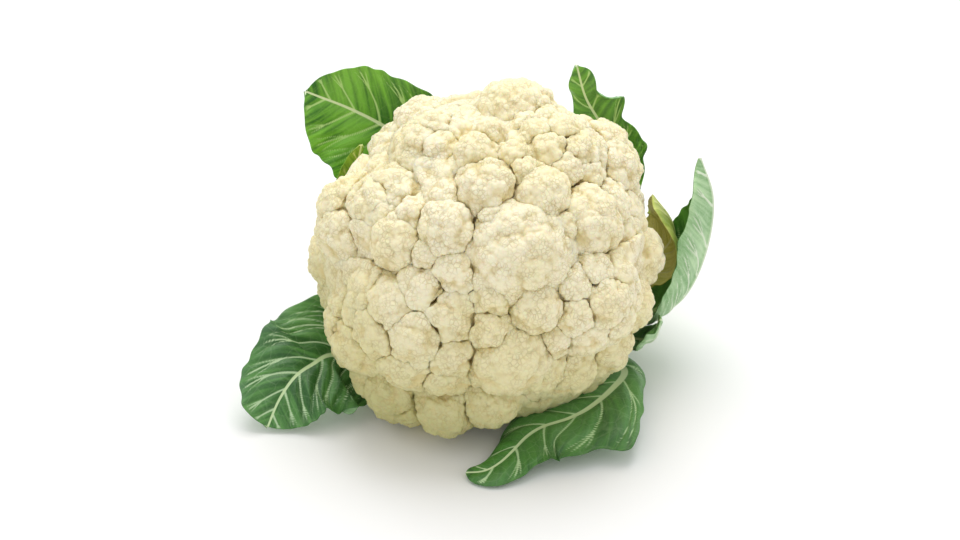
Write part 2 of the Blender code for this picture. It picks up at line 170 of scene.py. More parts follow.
# The curd: masses, and the florets that each one carries. Rows give bearing about the
# head's axis (0 is +X, 90 is the back) and tilt from the apex in degrees, radius, and how
# far it stands proud, in mm. A mass without a list is one floret.
curd = {
    "masses": (
        ((-77, 42, 24.5, 3), ()),
        ((-122, 80, 44, 4), (
            (-119, 56, 13, 0), (-101, 64, 14, 0), (-128, 67, 13, 0), (-143, 71, 14, 0),
            (-114, 75, 12, 1), (-131, 81, 14, 0), (-100, 80, 11, 0), (-143, 83, 11, 0),
            (-117, 91, 13, 0), (-103, 94, 11, 0))),
        ((-140, 93, 34, 4.5), (
            (-150, 80, 12, -4), (-136, 93, 13, 1), (-150, 94, 13, -2), (-145, 106, 12, 0))),
        ((-126, 112, 32, 5), (
            (-137, 107, 12, 0), (-126, 117, 13, 0), (-114, 117, 12, 0), (-124, 106, 12, 1),
            (-140, 118, 12, 0))),
        ((-160, 47, 28, 0.5), (
            (-164, 36, 13, -1), (-148, 36, 9, 0), (-176, 47, 13, -4), (-157, 48, 13, 0),
            (-170, 58, 13, 0), (-151, 59, 13, 0), (-146, 47, 8, 0))),
        ((168, 25, 26, 0.5), (
            (150, 12, 9, -1), (138, 22, 10, -3), (160, 22, 9, 0), (-179, 27, 10, 0),
            (-165, 20, 9, 0), (-153, 28, 9, 1), (-168, 34, 11, 0), (168, 37, 12, -2), (150, 34, 12, -3))),
        ((74, 25, 25, 3.5), (
            (76, 18, 12, 0), (56, 27, 11, 0), (95, 27, 11, -1), (76, 35, 12, 0), (114, 20, 9, -4))),
        ((20, 45, 30, 3), ((6, 46, 12, 0), (28, 46, 13, 0), (16, 57, 12, -1), (48, 41, 12, 0))),
        ((12, 23, 32, 2), (
            (52, 11, 9, 0), (44, 22, 10, 0), (20, 10, 8, 0), (18, 21, 9, 0), (-2, 28, 10, 0),
            (-20, 16, 9, 0), (-27, 26, 9, 0), (-14, 36, 10, 0), (12, 37, 12, 0), (34, 34, 12, 0))),
        ((-48, 68, 31, 4.5), (
            (-61, 54, 11, 0), (-46, 52, 11, 0), (-35, 61, 12, 0), (-63, 67, 10, 0),
            (-48, 66, 12, 1), (-57, 79, 11, 0), (-43, 79, 12, 0), (-31, 73, 12, 0))),
        ((-6, 58, 24, -6), ((-20, 58, 12, 0), (-2, 51, 12, 0), (4, 66, 13, 0), (-16, 71, 12, 0))),
        ((-172, 64, 28, 3.5), (
            (-178, 62, 13, 0), (-161, 67, 13, 0), (-170, 76, 12, -1), (175, 74, 12, -2))),
        ((-118, 38, 13, 2), ()), ((-137, 50, 13, 1.5), ()), ((-137, 40, 8, -1), ()),
        ((-127, 30, 8, -2), ()), ((-108, 50, 11, -4), ()), ((-122, 48, 8, -3), ()),
        ((170, 3, 7, -0.5), ()), ((-132, 11, 9.5, 1), ()), ((-100, 21, 13, 2), ()),
        ((-54, 26, 13.5, 1.5), ()), ((-62, 10, 6.5, -1), ()), ((-60, 17, 7, -1), ()),
        ((-94, 32, 6, -2), ()), ((-35, 42, 17, 1.5), ()), ((-52, 38, 7, -2), ()),
        ((-12, 46, 11, -4), ()), ((-83, 81, 18, 2.5), ()), ((-90, 69, 9, -2), ()),
        ((-89, 58, 9, -4), ()), ((-73, 62, 12, 0), ()), ((-67, 75, 9, -4), ()),
        ((-71, 91, 11, -5), ()), ((-58, 96, 13, -4), ()), ((-41, 95, 14, -3), ()),
        ((-25, 86, 13, -4), ()), ((-104, 108, 14, 5), ()), ((-89, 104, 13, 1), ()),
        ((150, 52, 17, -10), ()), ((167, 52, 13, -11), ()), ((2, 86, 15, -4), ()),
        ((-178, 90, 16, -1), ()), ((-171, 101, 15, -4), ()), ((129, 51, 15, -2), ()),
    ),
    # even rings round the back: tilt, radius and spacing in degrees
    "backRings": ((50, 17, 31), (75, 18, 27), (99, 16, 24)),
    # where the head is flatter: depth in mm, bearing, spread and the tilt it starts at
    "flats": ((8, 14, 34, 62), (8, -160, 18, 94), (3, 110, 20, 40), (12, 151, 10, 46)),
    "crowding": 0.62,           # closer than this share of two radii, a back floret is left out
    "rootDepth": 24,            # where the branches meet, below the head's centre
    "fullness": 1.13,           # domes are wider than they stand, so crevices stay shallow
    "creaseDepth": 2.8,         # between florets of one mass
    "creviceDepth": 4.4,        # between masses
    "gap": 0.02,                # half the space between two florets
    "softness": 0.6,            # rounding where a dome turns down into a crevice
    "floorBlur": 0.9,           # rounding where it meets the crevice's floor
    "domeEdge": 104,            # polar angle where a dome becomes a branch
    "domeVertices": 0.8,        # share of the vertices that go to the dome
    "rootSpread": 0.12,         # a branch's end keeps this share of its floret's place
    "branchWidth": 0.28,        # at the root, as a share of the width under the dome
    "vertexGap": 0.74, "cuts": (16, 76),
    "budShare": 0.5, "budSizes": (5.6, 11.0), "budHeight": 0.17,      # against radius and size
    "floorGap": 0.2,
}


def direction(bearing, tilt):
    b, t = math.radians(bearing), math.radians(tilt)
    return np.array([math.sin(t) * math.cos(b), math.sin(t) * math.sin(b), math.cos(t)])


def flatness(bearing, tilt):
    total = 0
    for depth, middle, spread, start in curd["flats"]:
        aside = (bearing - middle + 180) % 360 - 180
        below = smoothstep(tilt, start - 10, start + 10)
        total = total + depth * np.exp(-(aside / spread) ** 2) * below
    return total


def placeFlorets():
    # each floret's centre and radius, and the centre and radius of the mass it sits on
    placed = []
    for (bearing, tilt, size, proud), carried in curd["masses"]:
        mass = direction(bearing, tilt) * (head["reach"] + proud - size)
        if not carried:
            radius = size * curd["fullness"]
            centre = direction(bearing, tilt) * (head["reach"] + proud - radius)
            placed.append((centre, radius, centre, radius - curd["creviceDepth"]))
        for aside, lean, radius, rise in carried:
            ray = direction(aside, lean)
            along = ray @ mass
            leaves = ray * (along + math.sqrt(max(along**2 - mass @ mass + size**2, 1)))
            radius *= curd["fullness"]
            centre = leaves + unit(leaves - mass) * (rise - radius)
            placed.append((centre, radius, mass, size - curd["creaseDepth"]))
    for tilt, radius, step in curd["backRings"]:
        radius *= curd["fullness"]
        for bearing in np.arange(-180 + step / 2, 180, step):
            reach = head["reach"] - flatness(bearing, tilt)
            centre = direction(bearing, tilt) * (reach - radius)
            if min(np.linalg.norm(centre - c) / (radius + r) for c, r, _, _ in placed) > curd["crowding"]:
                placed.append((centre, radius, centre, radius - curd["creviceDepth"]))
    return placed


florets = placeFlorets()
balls = {}


def gridBall(cuts):
    # a cube cut into a grid and blown up into a ball: the template's mesh and directions
    if cuts not in balls:
        bm = bmesh.new()
        bmesh.ops.create_cube(bm, size=2)
        bmesh.ops.subdivide_edges(bm, edges=bm.edges[:], cuts=cuts, use_grid_fill=True)
        mesh = bpy.data.meshes.new("ball")
        bm.to_mesh(mesh)
        bm.free()
        even = np.tan(getPoints(mesh) * math.pi / 4)   # evens out the cells over the ball
        balls[cuts] = mesh, unit(even)
    return balls[cuts]


def exitBall(start, rays, centre, radius):
    # how far rays from the start go before they leave a ball; 0 where they miss it
    along = rays @ (centre - start)
    inside = along**2 - (centre - start) @ (centre - start) + radius**2
    return np.where(inside > 0, along + np.sqrt(np.maximum(inside, 0)), 0)


def domeRadius(index, rays):
    # how far a floret reaches along rays from its centre
    centre, radius, mass, massRadius = florets[index]
    soft = curd["softness"]
    total = np.exp(-radius * np.ones(len(rays)) / soft)
    stop = np.full(len(rays), 99.0)
    top = np.linalg.norm(centre) + radius
    for other, (theirs, size, _, _) in enumerate(florets):
        apart = np.linalg.norm(theirs - centre)
        if other == index or apart > radius + size + 2:
            continue
        toward = (theirs - centre) / apart
        wall = max((apart**2 + radius**2 - size**2) / (2 * apart), 0.3 * radius)
        slope = np.maximum(rays @ toward, 1e-3)
        total += np.exp(-np.minimum((wall - curd["gap"]) / slope, 400) / soft)
        stop = np.minimum(stop, wall / slope)
        top = min(top, np.linalg.norm(theirs) + size)
    dome = -soft * np.log(total)
    origin = np.zeros(3)
    floor = exitBall(centre, rays, origin, top - curd["creviceDepth"])
    floor = np.maximum(floor, exitBall(centre, rays, mass, massRadius))
    floor = np.minimum(floor, stop)
    blur = curd["floorBlur"]
    return np.minimum(blur * np.logaddexp(dome / blur, floor / blur), np.maximum(stop, dome))


def floretMesh(index):
    centre, radius = florets[index][:2]
    cuts = int(np.clip(round(radius * 1.6 / curd["vertexGap"]), *curd["cuts"]))
    template, rays = gridBall(cuts)
    mesh = template.copy()
    root = np.array([*centre[:2] * curd["rootSpread"], -curd["rootDepth"]])
    outward = unit(centre - root)
    side = unit(np.cross(outward, (0.3, 0.5, 0.8)))
    up = np.cross(outward, side)
    # most of the vertices go to the dome
    edge = math.radians(curd["domeEdge"])
    domeShare = (1 - math.cos(edge)) / 2
    share = np.clip((1 - rays[:, 2]) / 2, 0, 1)
    most = curd["domeVertices"]
    warped = np.where(share < most, share / most * domeShare,
                      domeShare + (share - most) / (1 - most) * (1 - domeShare))
    polar = np.arccos(np.clip(1 - 2 * warped, -1, 1))
    around = np.arctan2(rays[:, 1], rays[:, 0])
    ring = np.minimum(polar, edge)
    flat = np.cos(around)[:, None] * side + np.sin(around)[:, None] * up
    aim = np.sin(ring)[:, None] * flat + np.cos(ring)[:, None] * outward
    reach = domeRadius(index, aim)
    points = centre + aim * reach[:, None]
    # behind the dome the floret narrows to a branch that runs to the root
    s = np.clip((polar - edge) / (math.pi - edge), 0, 1)
    thin = curd["branchWidth"]
    narrow = ((1 - thin) * (1 - s) ** 3 + thin) * np.sqrt(1 - s**8)
    length = np.linalg.norm(centre - root)
    lateral = flat * (reach * math.sin(edge) * narrow)[:, None]
    depth = reach * math.cos(edge) * (1 - s) - length * s
    branch = centre + lateral + outward * depth[:, None]
    back = s > 0
    points[back] = branch[back]
    setPoints(mesh, points * mm)
    # sunk: how far the surface lies below its floret's full dome; the curd's material paints shade by it
    sunk = radius - reach
    setAttribute(mesh, "open", smoothstep(-s, -0.35, 0) * (1 - 0.8 * smoothstep(sunk, 0.8, 3.5)))
    setAttribute(mesh, "sunk", sunk + 12 * s)
    return mesh


def geometryTree(name, inputs, outputs=(("Geometry", "NodeSocketGeometry"),)):
    tree = bpy.data.node_groups.new(name, "GeometryNodeTree")
    sockets = {}
    for label, kind, value in inputs:
        socket = tree.interface.new_socket(label, in_out="INPUT", socket_type=kind)
        if value is not None:
            socket.default_value = value
        sockets[label] = socket.identifier
    for label, kind in outputs:
        tree.interface.new_socket(label, in_out="OUTPUT", socket_type=kind)
    given = tree.nodes.new("NodeGroupInput")
    wires = {label: Wire(tree, given.outputs[label]) for label, _, _ in inputs}
    return tree, Wire(tree), wires, sockets


def scaled(graph, vector, factor):
    settings = {"operation": "SCALE"}
    return graph.node("ShaderNodeVectorMath", settings, {0: vector, "Scale": factor})


def finishTree(tree, result):
    given = tree.nodes.new("NodeGroupOutput")
    tree.links.new(result.socket, given.inputs[0])


# One level of bumps: points scattered evenly over the open surface, a dome over each.
def cobbleTree():
    tree, graph, given, _ = geometryTree("Cobble", (
        ("Geometry", "NodeSocketGeometry", None), ("Spacing", "NodeSocketFloat", 0.01),
        ("Height", "NodeSocketFloat", 0.001), ("Unevenness", "NodeSocketFloat", 0.3),
        ("Seed", "NodeSocketInt", 0), ("Store As", "NodeSocketString", "bud"),
    ))
    openness = graph.node("GeometryNodeInputNamedAttribute", {"data_type": "FLOAT"}, {"Name": "open"})
    density = 7.0 / (given["Spacing"] * given["Spacing"])
    scatter = graph.node(
        "GeometryNodeDistributePointsOnFaces", {"distribute_method": "POISSON"},
        {"Mesh": given["Geometry"], "Selection": openness.math("GREATER_THAN", openness, 0.05),
         "Distance Min": given["Spacing"], "Density Max": density, "Seed": given["Seed"]})
    chance = graph.node("FunctionNodeRandomValue", {"data_type": "FLOAT"}, {"Seed": given["Seed"]}, out=1)
    sink = chance * given["Spacing"] * given["Unevenness"] * -1.0
    sunk = graph.node("GeometryNodeSetPosition", None, {
        "Geometry": scatter, "Offset": scaled(graph, scatter.out("Normal"), sink)})
    nearest = {"target_element": "POINTS"}
    away = graph.node("GeometryNodeProximity", nearest, {"Target": sunk}, out="Distance")
    across = away / (given["Spacing"] * 0.72)
    rise = (1.0 - across * across).math("MAXIMUM", 1.0 - across * across, -0.5)
    normal = graph.node("GeometryNodeInputNormal")
    shift = scaled(graph, normal, (rise - 0.45) * given["Height"] * openness)
    moved = graph.node("GeometryNodeSetPosition", None, {"Geometry": given["Geometry"], "Offset": shift})
    kept = graph.node("GeometryNodeStoreNamedAttribute", {"data_type": "FLOAT", "domain": "POINT"}, {
        "Geometry": moved, "Name": given["Store As"], "Value": rise * openness})
    finishTree(tree, kept)
    return tree


# A floret's skin: buds, smaller buds on those, and the grain on them all.
def skinTree(cobble, surface):
    tree, graph, given, sockets = geometryTree("Floret skin", (
        ("Geometry", "NodeSocketGeometry", None), ("Bud Size", "NodeSocketFloat", 0.01),
        ("Bud Height", "NodeSocketFloat", 0.002), ("Knob Size", "NodeSocketFloat", 0.0046),
        ("Knob Height", "NodeSocketFloat", 0.00075), ("Grain Size", "NodeSocketFloat", 0.002),
        ("Grain Height", "NodeSocketFloat", 0.00042), ("Seed", "NodeSocketInt", 1),
    ))
    skin = given["Geometry"]
    for level, (size, height, uneven, label) in enumerate((
            ("Bud Size", "Bud Height", 0.35, "bud"), ("Knob Size", "Knob Height", 0.35, "knob"),
            ("Grain Size", "Grain Height", 0.25, "grain"))):
        skin = graph.node("GeometryNodeGroup", {"node_tree": cobble}, {
            "Geometry": skin, "Spacing": given[size], "Height": given[height],
            "Unevenness": uneven, "Seed": given["Seed"] + 31 * level, "Store As": label})
    real = graph.node("GeometryNodeRealizeInstances", None, {"Geometry": skin})
    coated = graph.node("GeometryNodeSetMaterial", None, {"Geometry": real, "Material": surface})
    finishTree(tree, coated)
    return tree, sockets


def applyNodes(mesh, tree, sockets, values):
    # runs a Geometry Nodes tree over a mesh and gives back the plain mesh it makes
    holder = bpy.data.objects.new("holder", mesh)
    bpy.context.scene.collection.objects.link(holder)
    modifier = holder.modifiers.new("nodes", "NODES")
    modifier.node_group = tree
    for label, value in values.items():
        modifier[sockets[label]] = value
    grown = bpy.data.meshes.new_from_object(holder.evaluated_get(bpy.context.evaluated_depsgraph_get()))
    bpy.data.objects.remove(holder)
    return grown


def material(name, roughness, specular=0.5):
    made = bpy.data.materials.new(name)
    made.use_nodes = True
    tree = made.node_tree
    shader = tree.nodes["Principled BSDF"]
    shader.inputs["Roughness"].default_value = roughness
    shader.inputs["Specular IOR Level"].default_value = specular
    return made, shader, Wire(tree)


def connect(shader, name, wire):
    wire.tree.links.new(wire.socket, shader.inputs[name])


def attribute(graph, name, out="Fac"):
    return graph.node("ShaderNodeAttribute", {"attribute_name": name}, out=out)


def noise(graph, scale, detail=2.0, vector=None):
    if vector is None:
        vector = graph.node("ShaderNodeTexCoord", out="Object")
    values = {"Vector": vector, "Scale": scale, "Detail": detail}
    return graph.node("ShaderNodeTexNoise", None, values)


# The curd's colours. low and base: the lower curd's yellower tint with painted shade mixed in. between, bud
# and crevice: painted shade in the hollows between grains, knobs, buds and florets.
curdColoursAndShade = {
    "cream": rgb(250, 241, 210), "ivory": rgb(243, 233, 190), "low": rgb(220, 213, 160),
    "base": rgb(184, 182, 122), "between": rgb(220, 204, 146), "bud": rgb(224, 206, 148),
    "creviceShade": rgb(204, 158, 88), "speck": rgb(196, 178, 122), "roughness": 0.6, "speckScale": 500.0,
}


def curdMaterial():
    made, shader, graph = material("Curd", curdColoursAndShade["roughness"], 0.35)
    place = graph.node("ShaderNodeTexCoord", out="Object")
    parts = graph.node("ShaderNodeSeparateXYZ", None, {"Vector": place})
    # height climbs with Z and, at a fifth of the rate, towards +X, so the colours keyed to it are painted
    # shade on the lower left as well as the lower curd's own tint
    height = parts.out("Z") + parts.out("X") * 0.2 + noise(graph, 30.0) * 0.03
    sunk = attribute(graph, "sunk")
    bud, knob, grain = (attribute(graph, name) for name in ("bud", "knob", "grain"))
    patch = noise(graph, 22.0, 3.0).steps(0.38, 0.66)
    colour = patch.blend(curdColoursAndShade["cream"], curdColoursAndShade["ivory"])
    # the lower curd turns yellower: partly its real less-bleached tint, partly painted shade
    lowerTintAndShade = (1.0 - height.steps(0.045, 0.105)) * 0.85
    colour = lowerTintAndShade.clamped().blend(colour, curdColoursAndShade["low"])
    # nearest the floor it turns darker olive: partly the lower curd's own tint, partly painted shade under
    # the head
    base = (1.0 - height.steps(0.022, 0.06)) * 0.85
    colour = base.clamped().blend(colour, curdColoursAndShade["base"])
    # painted shade in the low places between knobs and between grains
    low = (1.0 - knob).steps(0.5, 1.4) * 0.5 + (1.0 - grain).steps(0.7, 1.5) * 0.3
    colour = low.clamped().blend(colour, curdColoursAndShade["between"])
    # painted shade in the seams between buds
    seamShade = (1.0 - bud).steps(0.65, 1.4) * 0.7
    colour = seamShade.clamped().blend(colour, curdColoursAndShade["bud"])
    # painted shade in the crevices, deepening with how far the surface is sunk below its dome
    paintedCreviceShade = sunk.steps(0.8, 5.0) * 0.95
    colour = paintedCreviceShade.clamped().blend(colour, curdColoursAndShade["creviceShade"])
    cells = graph.node("ShaderNodeTexVoronoi", {"feature": "DISTANCE_TO_EDGE"}, {
        "Vector": place, "Scale": curdColoursAndShade["speckScale"], "Randomness": 1.0})
    speck = (1.0 - cells.steps(0.0, 0.16)) * noise(graph, 160.0, 2.0).steps(0.25, 0.7)
    colour = (speck * 0.5).blend(colour, curdColoursAndShade["speck"])
    connect(shader, "Base Color", colour)
    connect(shader, "Roughness", noise(graph, 400.0) * 0.2 + 0.5)
    bump = {"Height": speck * -1.0, "Strength": 0.5, "Distance": 0.0005}
    connect(shader, "Normal", graph.node("ShaderNodeBump", None, bump, out="Normal"))
    shader.inputs["Subsurface Weight"].default_value = 0.35
    shader.inputs["Subsurface Radius"].default_value = (1.0, 0.7, 0.35)
    shader.inputs["Subsurface Scale"].default_value = 0.0035
    return made


def makeCurd():
    surface = curdMaterial()
    tree, sockets = skinTree(cobbleTree(), surface)
    total = 0
    for index, (centre, radius, _, _) in enumerate(florets):
        body = floretMesh(index)
        bud = float(np.clip(curd["budShare"] * radius, *curd["budSizes"]))
        grown = applyNodes(body, tree, sockets, {
            "Bud Size": bud * mm, "Bud Height": curd["budHeight"] * bud * mm, "Seed": 11 + 7 * index})
        points = getPoints(grown) @ headTurn.T + headCentre
        points[:, 2] = np.maximum(points[:, 2], curd["floorGap"] * mm)
        setPoints(grown, points)
        grown.shade_smooth()
        newPiece(f"floret_{index + 1:02d}", grown, [surface], "curd")
        total += len(grown.polygons) * 2
    print("curd:", len(florets), "florets,", total, "triangles")


makeCurd()


# Leaves. grows: the bearing round the stalk and the height where the midrib leaves it.
# path: the midrib's upper side from there to the tip, in mm. face: which way that side
# looks at the base, middle and tip. left and right: half widths in mm along the leaf, seen
# from above with the tip away. fold and curl: how far each half turns towards the upper
# side at the midrib and on to the margin, in degrees. ruffle: height in mm, waves, phase.
leaves = {
    "leaf_back_left": {
        "grows": (131, 20), "slot": "leaf_green", "tone": "bright",
        "path": ((-28, 46, 26), (-36, 68, 50), (-40, 66, 76), (-48, 58, 93), (-66, 53, 107), (-88, 45, 121)),
        "face": ((0, -0.3, 1), (0.3, -1, 0.2), (0.2, -0.9, 0.35)),
        "left": ((0, 8), (0.28, 9), (0.42, 26), (0.55, 33), (0.7, 35), (0.8, 32), (0.88, 27),
                 (0.95, 19), (1, 15)),
        "right": ((0, 8), (0.28, 9), (0.42, 22), (0.55, 27), (0.7, 26), (0.8, 25), (0.88, 21),
                  (0.95, 15), (1, 11)),
        "fold": 6, "curl": (8, 16), "ruffle": (1.6, 4, 0.4), "pairs": 9, "rib": 1.0, "pucker": 0.9,
    },
    "leaf_inner_left": {
        "grows": (168, 27), "slot": "leaf_young", "tone": "young",
        "path": ((-44, 20, 29), (-62, 33, 43), (-69, 34, 58), (-66, 35, 78), (-62, 35, 97)),
        "face": ((0.3, 0, 1), (0.45, -0.9, 0.2), (0.3, -1, 0)),
        "left": ((0, 6), (0.3, 7), (0.55, 13), (0.75, 14), (0.9, 9), (1, 4)),
        "right": ((0, 6), (0.3, 7), (0.55, 9), (0.75, 10), (0.9, 7), (1, 3)),
        "fold": 14, "curl": (12, 12), "ruffle": (0.8, 4, 0.1), "pairs": 7, "rib": 0.7, "pucker": 0.5,
    },
    "leaf_front_left": {
        "grows": (-150, 10), "slot": "leaf_green", "tone": "dark",
        "path": ((-40, -22, 10), (-60, -28, 15), (-75, -35, 22), (-83, -43, 22), (-91, -51, 20),
                 (-98, -60, 13), (-103, -68, 3.5)),
        "face": ((0, 0, 1), (0.05, -0.6, 0.8), (0, -0.7, 0.7)),
        "left": ((0, 7.5), (0.22, 9), (0.35, 24), (0.5, 32), (0.62, 31), (0.7, 28), (0.75, 22),
                 (0.82, 23), (0.92, 16), (1, 10)),
        "right": ((0, 7.5), (0.22, 9), (0.35, 22), (0.5, 29), (0.62, 29), (0.76, 24), (0.86, 20),
                  (0.94, 15), (1, 10)),
        "fold": 4, "curl": (6, 2), "ruffle": (1.6, 3, 0.1), "pairs": 8, "rib": 0.9, "pucker": 1.5,
    },
    "leaf_front_right": {
        "grows": (-30, 9), "slot": "leaf_green", "tone": "mid",
        "path": ((42, -17, 9), (58, -21, 10), (64, -34, 12), (57, -52, 14), (46, -67.5, 14),
                 (36, -75.3, 13), (24, -79, 11), (16.5, -85, 9.5), (10.5, -93.5, 8), (4, -101, 6),
                 (-3, -104.5, 4), (-11, -104, 3)),
        "face": ((0, 0, 1), (0.1, 0, 1), (0, -0.2, 1)),
        "left": ((0, 7.5), (0.2, 9), (0.31, 9), (0.43, 14), (0.51, 24), (0.58, 32), (0.62, 22),
                 (0.67, 24), (0.75, 21), (0.84, 15), (0.93, 10), (1, 7)),
        "right": ((0, 7.5), (0.2, 9), (0.33, 19), (0.48, 25), (0.64, 22), (0.74, 16), (0.84, 9),
                  (0.93, 7), (1, 5)),
        "fold": 4, "curl": (-14, -34), "ruffle": (1.4, 3, 0.0), "pairs": 8, "rib": 1.0, "pucker": 1.2,
    },
    "leaf_right_low": {
        "grows": (12, 9), "slot": "leaf_pale", "tone": "pale",
        "path": ((46, 8, 9), (65, -1, 11), (77, -17, 20), (79, -32, 40)),
        "face": ((0, 0, 1), (-0.5, 0.2, 0.8), (-1, 0.5, 0.2)),
        "left": ((0, 6), (0.3, 6), (0.55, 7.5), (0.75, 8.5), (0.9, 6), (1, 3)),
        "right": ((0, 6), (0.3, 5.5), (0.55, 8), (0.75, 11), (0.9, 7), (1, 3)),
        "fold": 10, "curl": (10, 10), "ruffle": (0.8, 3, 0.5), "pairs": 6, "rib": 0.7, "pucker": 0.4,
    },
    "leaf_right": {
        "grows": (28, 19), "slot": "leaf_pale", "tone": "pale",
        "path": ((46, 16, 18), (74, 10, 18), (91, 5, 30), (101, 4, 54), (104, 5, 82), (98, 8, 104)),
        "face": ((-0.2, 0, 1), (-1, 0.1, 0.35), (-1, 0.25, 0.0)),
        "left": ((0, 7.5), (0.25, 8.5), (0.42, 20), (0.6, 31), (0.72, 26), (0.85, 12), (0.95, 5), (1, 2)),
        "right": ((0, 7.5), (0.25, 8.5), (0.42, 24), (0.54, 32), (0.63, 32), (0.7, 28), (0.78, 25),
                  (0.9, 15), (0.96, 7), (1, 2)),
        "fold": 6, "curl": (62, 40), "ruffle": (0.9, 4, 0.0), "pairs": 8, "rib": 1.1, "pucker": 0.6,
    },
    "leaf_inner_right": {
        "grows": (46, 31), "slot": "leaf_young", "tone": "olive",
        "path": ((46, 22, 33), (70, 21, 38), (86, 18, 51), (87, 18, 63), (78, 22, 76)),
        "face": ((-0.3, 0, 1), (-1, -0.1, 0.3), (-0.8, -0.3, -0.5)),
        "left": ((0, 5.5), (0.3, 7), (0.5, 18), (0.75, 24), (0.9, 16), (1, 9)),
        "right": ((0, 5.5), (0.3, 7), (0.5, 20), (0.75, 27), (0.9, 18), (1, 10)),
        "fold": 4, "curl": (22, 22), "ruffle": (0.8, 4, 0.3), "pairs": 7, "rib": 0.7, "pucker": 0.5,
    },
    "leaf_back_right": {
        "grows": (74, 20), "slot": "leaf_green", "tone": "bright",
        "path": ((26, 52, 26), (46, 70, 44), (64, 66, 66), (63, 62, 80), (56, 59, 95), (47, 56, 112),
                 (42, 52, 131)),
        "face": ((0, -0.3, 1), (-0.5, -1, 0.1), (-0.2, -1, 0.2)),
        "left": ((0, 7.5), (0.28, 8.5), (0.42, 18), (0.6, 22), (0.8, 13), (0.88, 7), (0.95, 6), (1, 4)),
        "right": ((0, 7.5), (0.28, 8.5), (0.42, 22), (0.54, 25), (0.62, 15), (0.66, 15), (0.71, 21),
                  (0.76, 20), (0.79, 12), (0.83, 20), (0.87, 19), (0.91, 7), (0.95, 10), (1, 8)),
        "fold": 6, "curl": (10, 24), "ruffle": (2.5, 6, 0.6), "pairs": 9, "rib": 1.0, "pucker": 0.9,
    },
    "leaf_back": {
        "grows": (101, 9), "slot": "leaf_green", "tone": "bright",
        "path": ((-5, 52, 10), (-7, 86, 24), (-8, 101, 48), (-6, 104, 76)),
        "face": ((0, -0.3, 1), (0, -1, 0.4), (0, -1, 0.0)),
        "left": ((0, 8), (0.3, 9), (0.5, 22), (0.7, 26), (0.88, 18), (1, 10)),
        "right": ((0, 8), (0.3, 9), (0.5, 22), (0.7, 26), (0.88, 18), (1, 10)),
        "fold": 8, "curl": (18, 18), "ruffle": (1.8, 4, 0.9), "pairs": 8, "rib": 1.0, "pucker": 0.9,
    },
}
leafBuild = {
    "cell": 0.75,            # mm between vertices
    "blade": 1.0,            # thickness in mm at the blade, and added at the foot and the veins
    "petiole": 5.2, "ribRise": 2.2, "veinRise": 0.5,
    "curdGap": 2.5, "footGap": 0.3, "floorGap": 0.25, "petioleStart": 9,
    "lineSteps": 160, "faceMiddle": 0.55,      # where along the midrib the middle "face" counts
    "bladeStarts": (0.22, 0.4), "tipStarts": 0.92,
    "scallops": ((0.035, 6.3, 1), (0.018, 17.7, 2)),    # depth, number, how far the sides differ
    "wavesApart": 1.3, "sweep": 0.15,          # sweep: the margins lean on towards the tip
    "veinAngle": 52, "veinBend": 0.006, "veinWidth": 0.55, "veinSpan": (0.2, 0.93),
    "thinnestVein": 0.42,                      # thinner ones break up between vertices
}


stalk = {
    "radius": 20, "flare": 1.12, "underHead": 30.5,     # mm; underHead: its top below the head's centre
    "sides": 180, "rings": 70, "rim": 1.6, "ribs": 13, "ribHeight": 0.5,
    "scars": ((-95, 13, 9), (-60, 22, 8), (75, 28, 9), (215, 19, 9)),   # bearing, height, half width
}
stalkTop = headCentre / mm - headTurn @ np.array([0.0, 0.0, stalk["underHead"]])


def stalkPoint(share, outward):
    # the stalk's surface: share 0 is the cut it stands on, 1 is under the curd
    low = outward * stalk["radius"]
    high = stalkTop + (headTurn @ outward.T).T * stalk["radius"] * stalk["flare"]
    return low + (high - low) * np.asarray(share)[..., None]


def smoothLine(points, count, blur=0.03):
    # an even walk along a smooth curve through the points, rounded a little more
    p = np.asarray(points, float)
    p = np.vstack([2 * p[0] - p[1], p, 2 * p[-1] - p[-2]])
    walk = []
    for a, b, c, d in zip(p[:-3], p[1:-2], p[2:-1], p[3:]):
        t = np.linspace(0, 1, 40, endpoint=False)[:, None]
        walk.append(0.5 * (2 * b + (c - a) * t + (2 * a - 5 * b + 4 * c - d) * t**2
                           + (3 * b - a - 3 * c + d) * t**3))
    walk = np.vstack(walk + [p[-2:-1]])
    length = np.concatenate([[0], np.cumsum(np.linalg.norm(np.diff(walk, axis=0), axis=1))])
    even = np.linspace(0, length[-1], count)
    walk = np.stack([np.interp(even, length, walk[:, k]) for k in range(3)], axis=1)
    return blurred(walk, blur), length[-1]


def blurred(values, share):
    # rounds a row of values off, keeping both of its ends
    reach = max(1, int(len(values) * share))
    kernel = np.hanning(2 * reach + 3)[1:-1]
    kernel /= kernel.sum()
    columns = values.reshape(len(values), -1)
    out = np.empty_like(columns)
    for k in range(columns.shape[1]):
        row = columns[:, k]
        padded = np.concatenate([2 * row[0] - row[reach:0:-1], row, 2 * row[-1] - row[-2:-reach - 2:-1]])
        out[:, k] = np.convolve(padded, kernel, "valid")
    return out.reshape(values.shape)


def leafFoot(leaf):
    bearing, height = leaf["grows"]
    b = math.radians(bearing)
    outward = np.array([math.cos(b), math.sin(b), 0.0])
    share = height / stalkTop[2]
    radius = stalk["radius"] * (1 + (stalk["flare"] - 1) * share)
    foot = stalkTop * share + outward * (radius + leafBuild["footGap"])
    foot[2] = height
    return foot, foot + outward * leafBuild["petioleStart"]


def offCurd(points, gap):
    # moves points out along their rays until they clear the curd's round shape
    offset = (points - headCentre / mm) @ headTurn
    far = np.linalg.norm(offset, axis=1)
    tilt = np.degrees(np.arccos(np.clip(offset[:, 2] / far, -1, 1)))
    bearing = np.degrees(np.arctan2(offset[:, 1], offset[:, 0]))
    least = (head["reach"] + gap - flatness(bearing, tilt)) * (1 - 0.9 * smoothstep(tilt, 104, 122))
    push = np.maximum(1, least / far)
    return (offset * push[:, None]) @ headTurn.T + headCentre / mm


